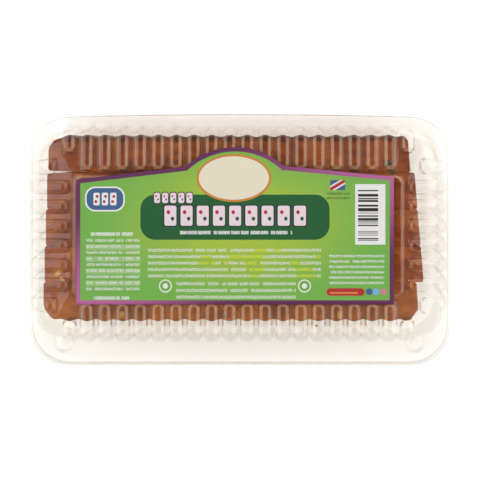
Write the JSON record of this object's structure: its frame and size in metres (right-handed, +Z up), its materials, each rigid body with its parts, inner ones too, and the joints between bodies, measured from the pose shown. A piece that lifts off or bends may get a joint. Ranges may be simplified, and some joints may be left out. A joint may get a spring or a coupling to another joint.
{
  "type": "sliced fruitcake in a clear hinged pack",
  "caption": "Clear fluted clamshell pack with a hinged lid, holding a brown-crusted fruitcake cut into slices.",
  "frame": {"origin": "middle of the closed pack's bounding box, on the surface that it stands on", "axes": "+X along the longer side, +Y to the hinge at the rear, +Z up"},
  "size_m": [0.2504, 0.1502, 0.0494],
  "materials": {
    "clear_plastic": "clear and glossy",
    "label_paper": "printed semi-gloss paper",
    "cake": "baked crust over yellow crumb"
  },
  "bodies": {
    "tray": {"tray": "clear_plastic", "slice_left_1": "cake", "slice_left_2": "cake", "slice_left_3": "cake", "slice_left_4": "cake", "slice_left_5": "cake", "slice_right_1": "cake", "slice_right_2": "cake", "slice_right_3": "cake", "slice_right_4": "cake", "slice_right_5": "cake"},
    "lid": {"lid": "clear_plastic", "label": "label_paper"}
  },
  "joints": [
    {"name": "lid_hinge", "type": "hinge", "parent": "tray", "child": "lid", "pos_m": [0, 0.0751, 0.01265], "axis": [-1, 0, 0], "range_deg": [0, 125]}
  ]
}
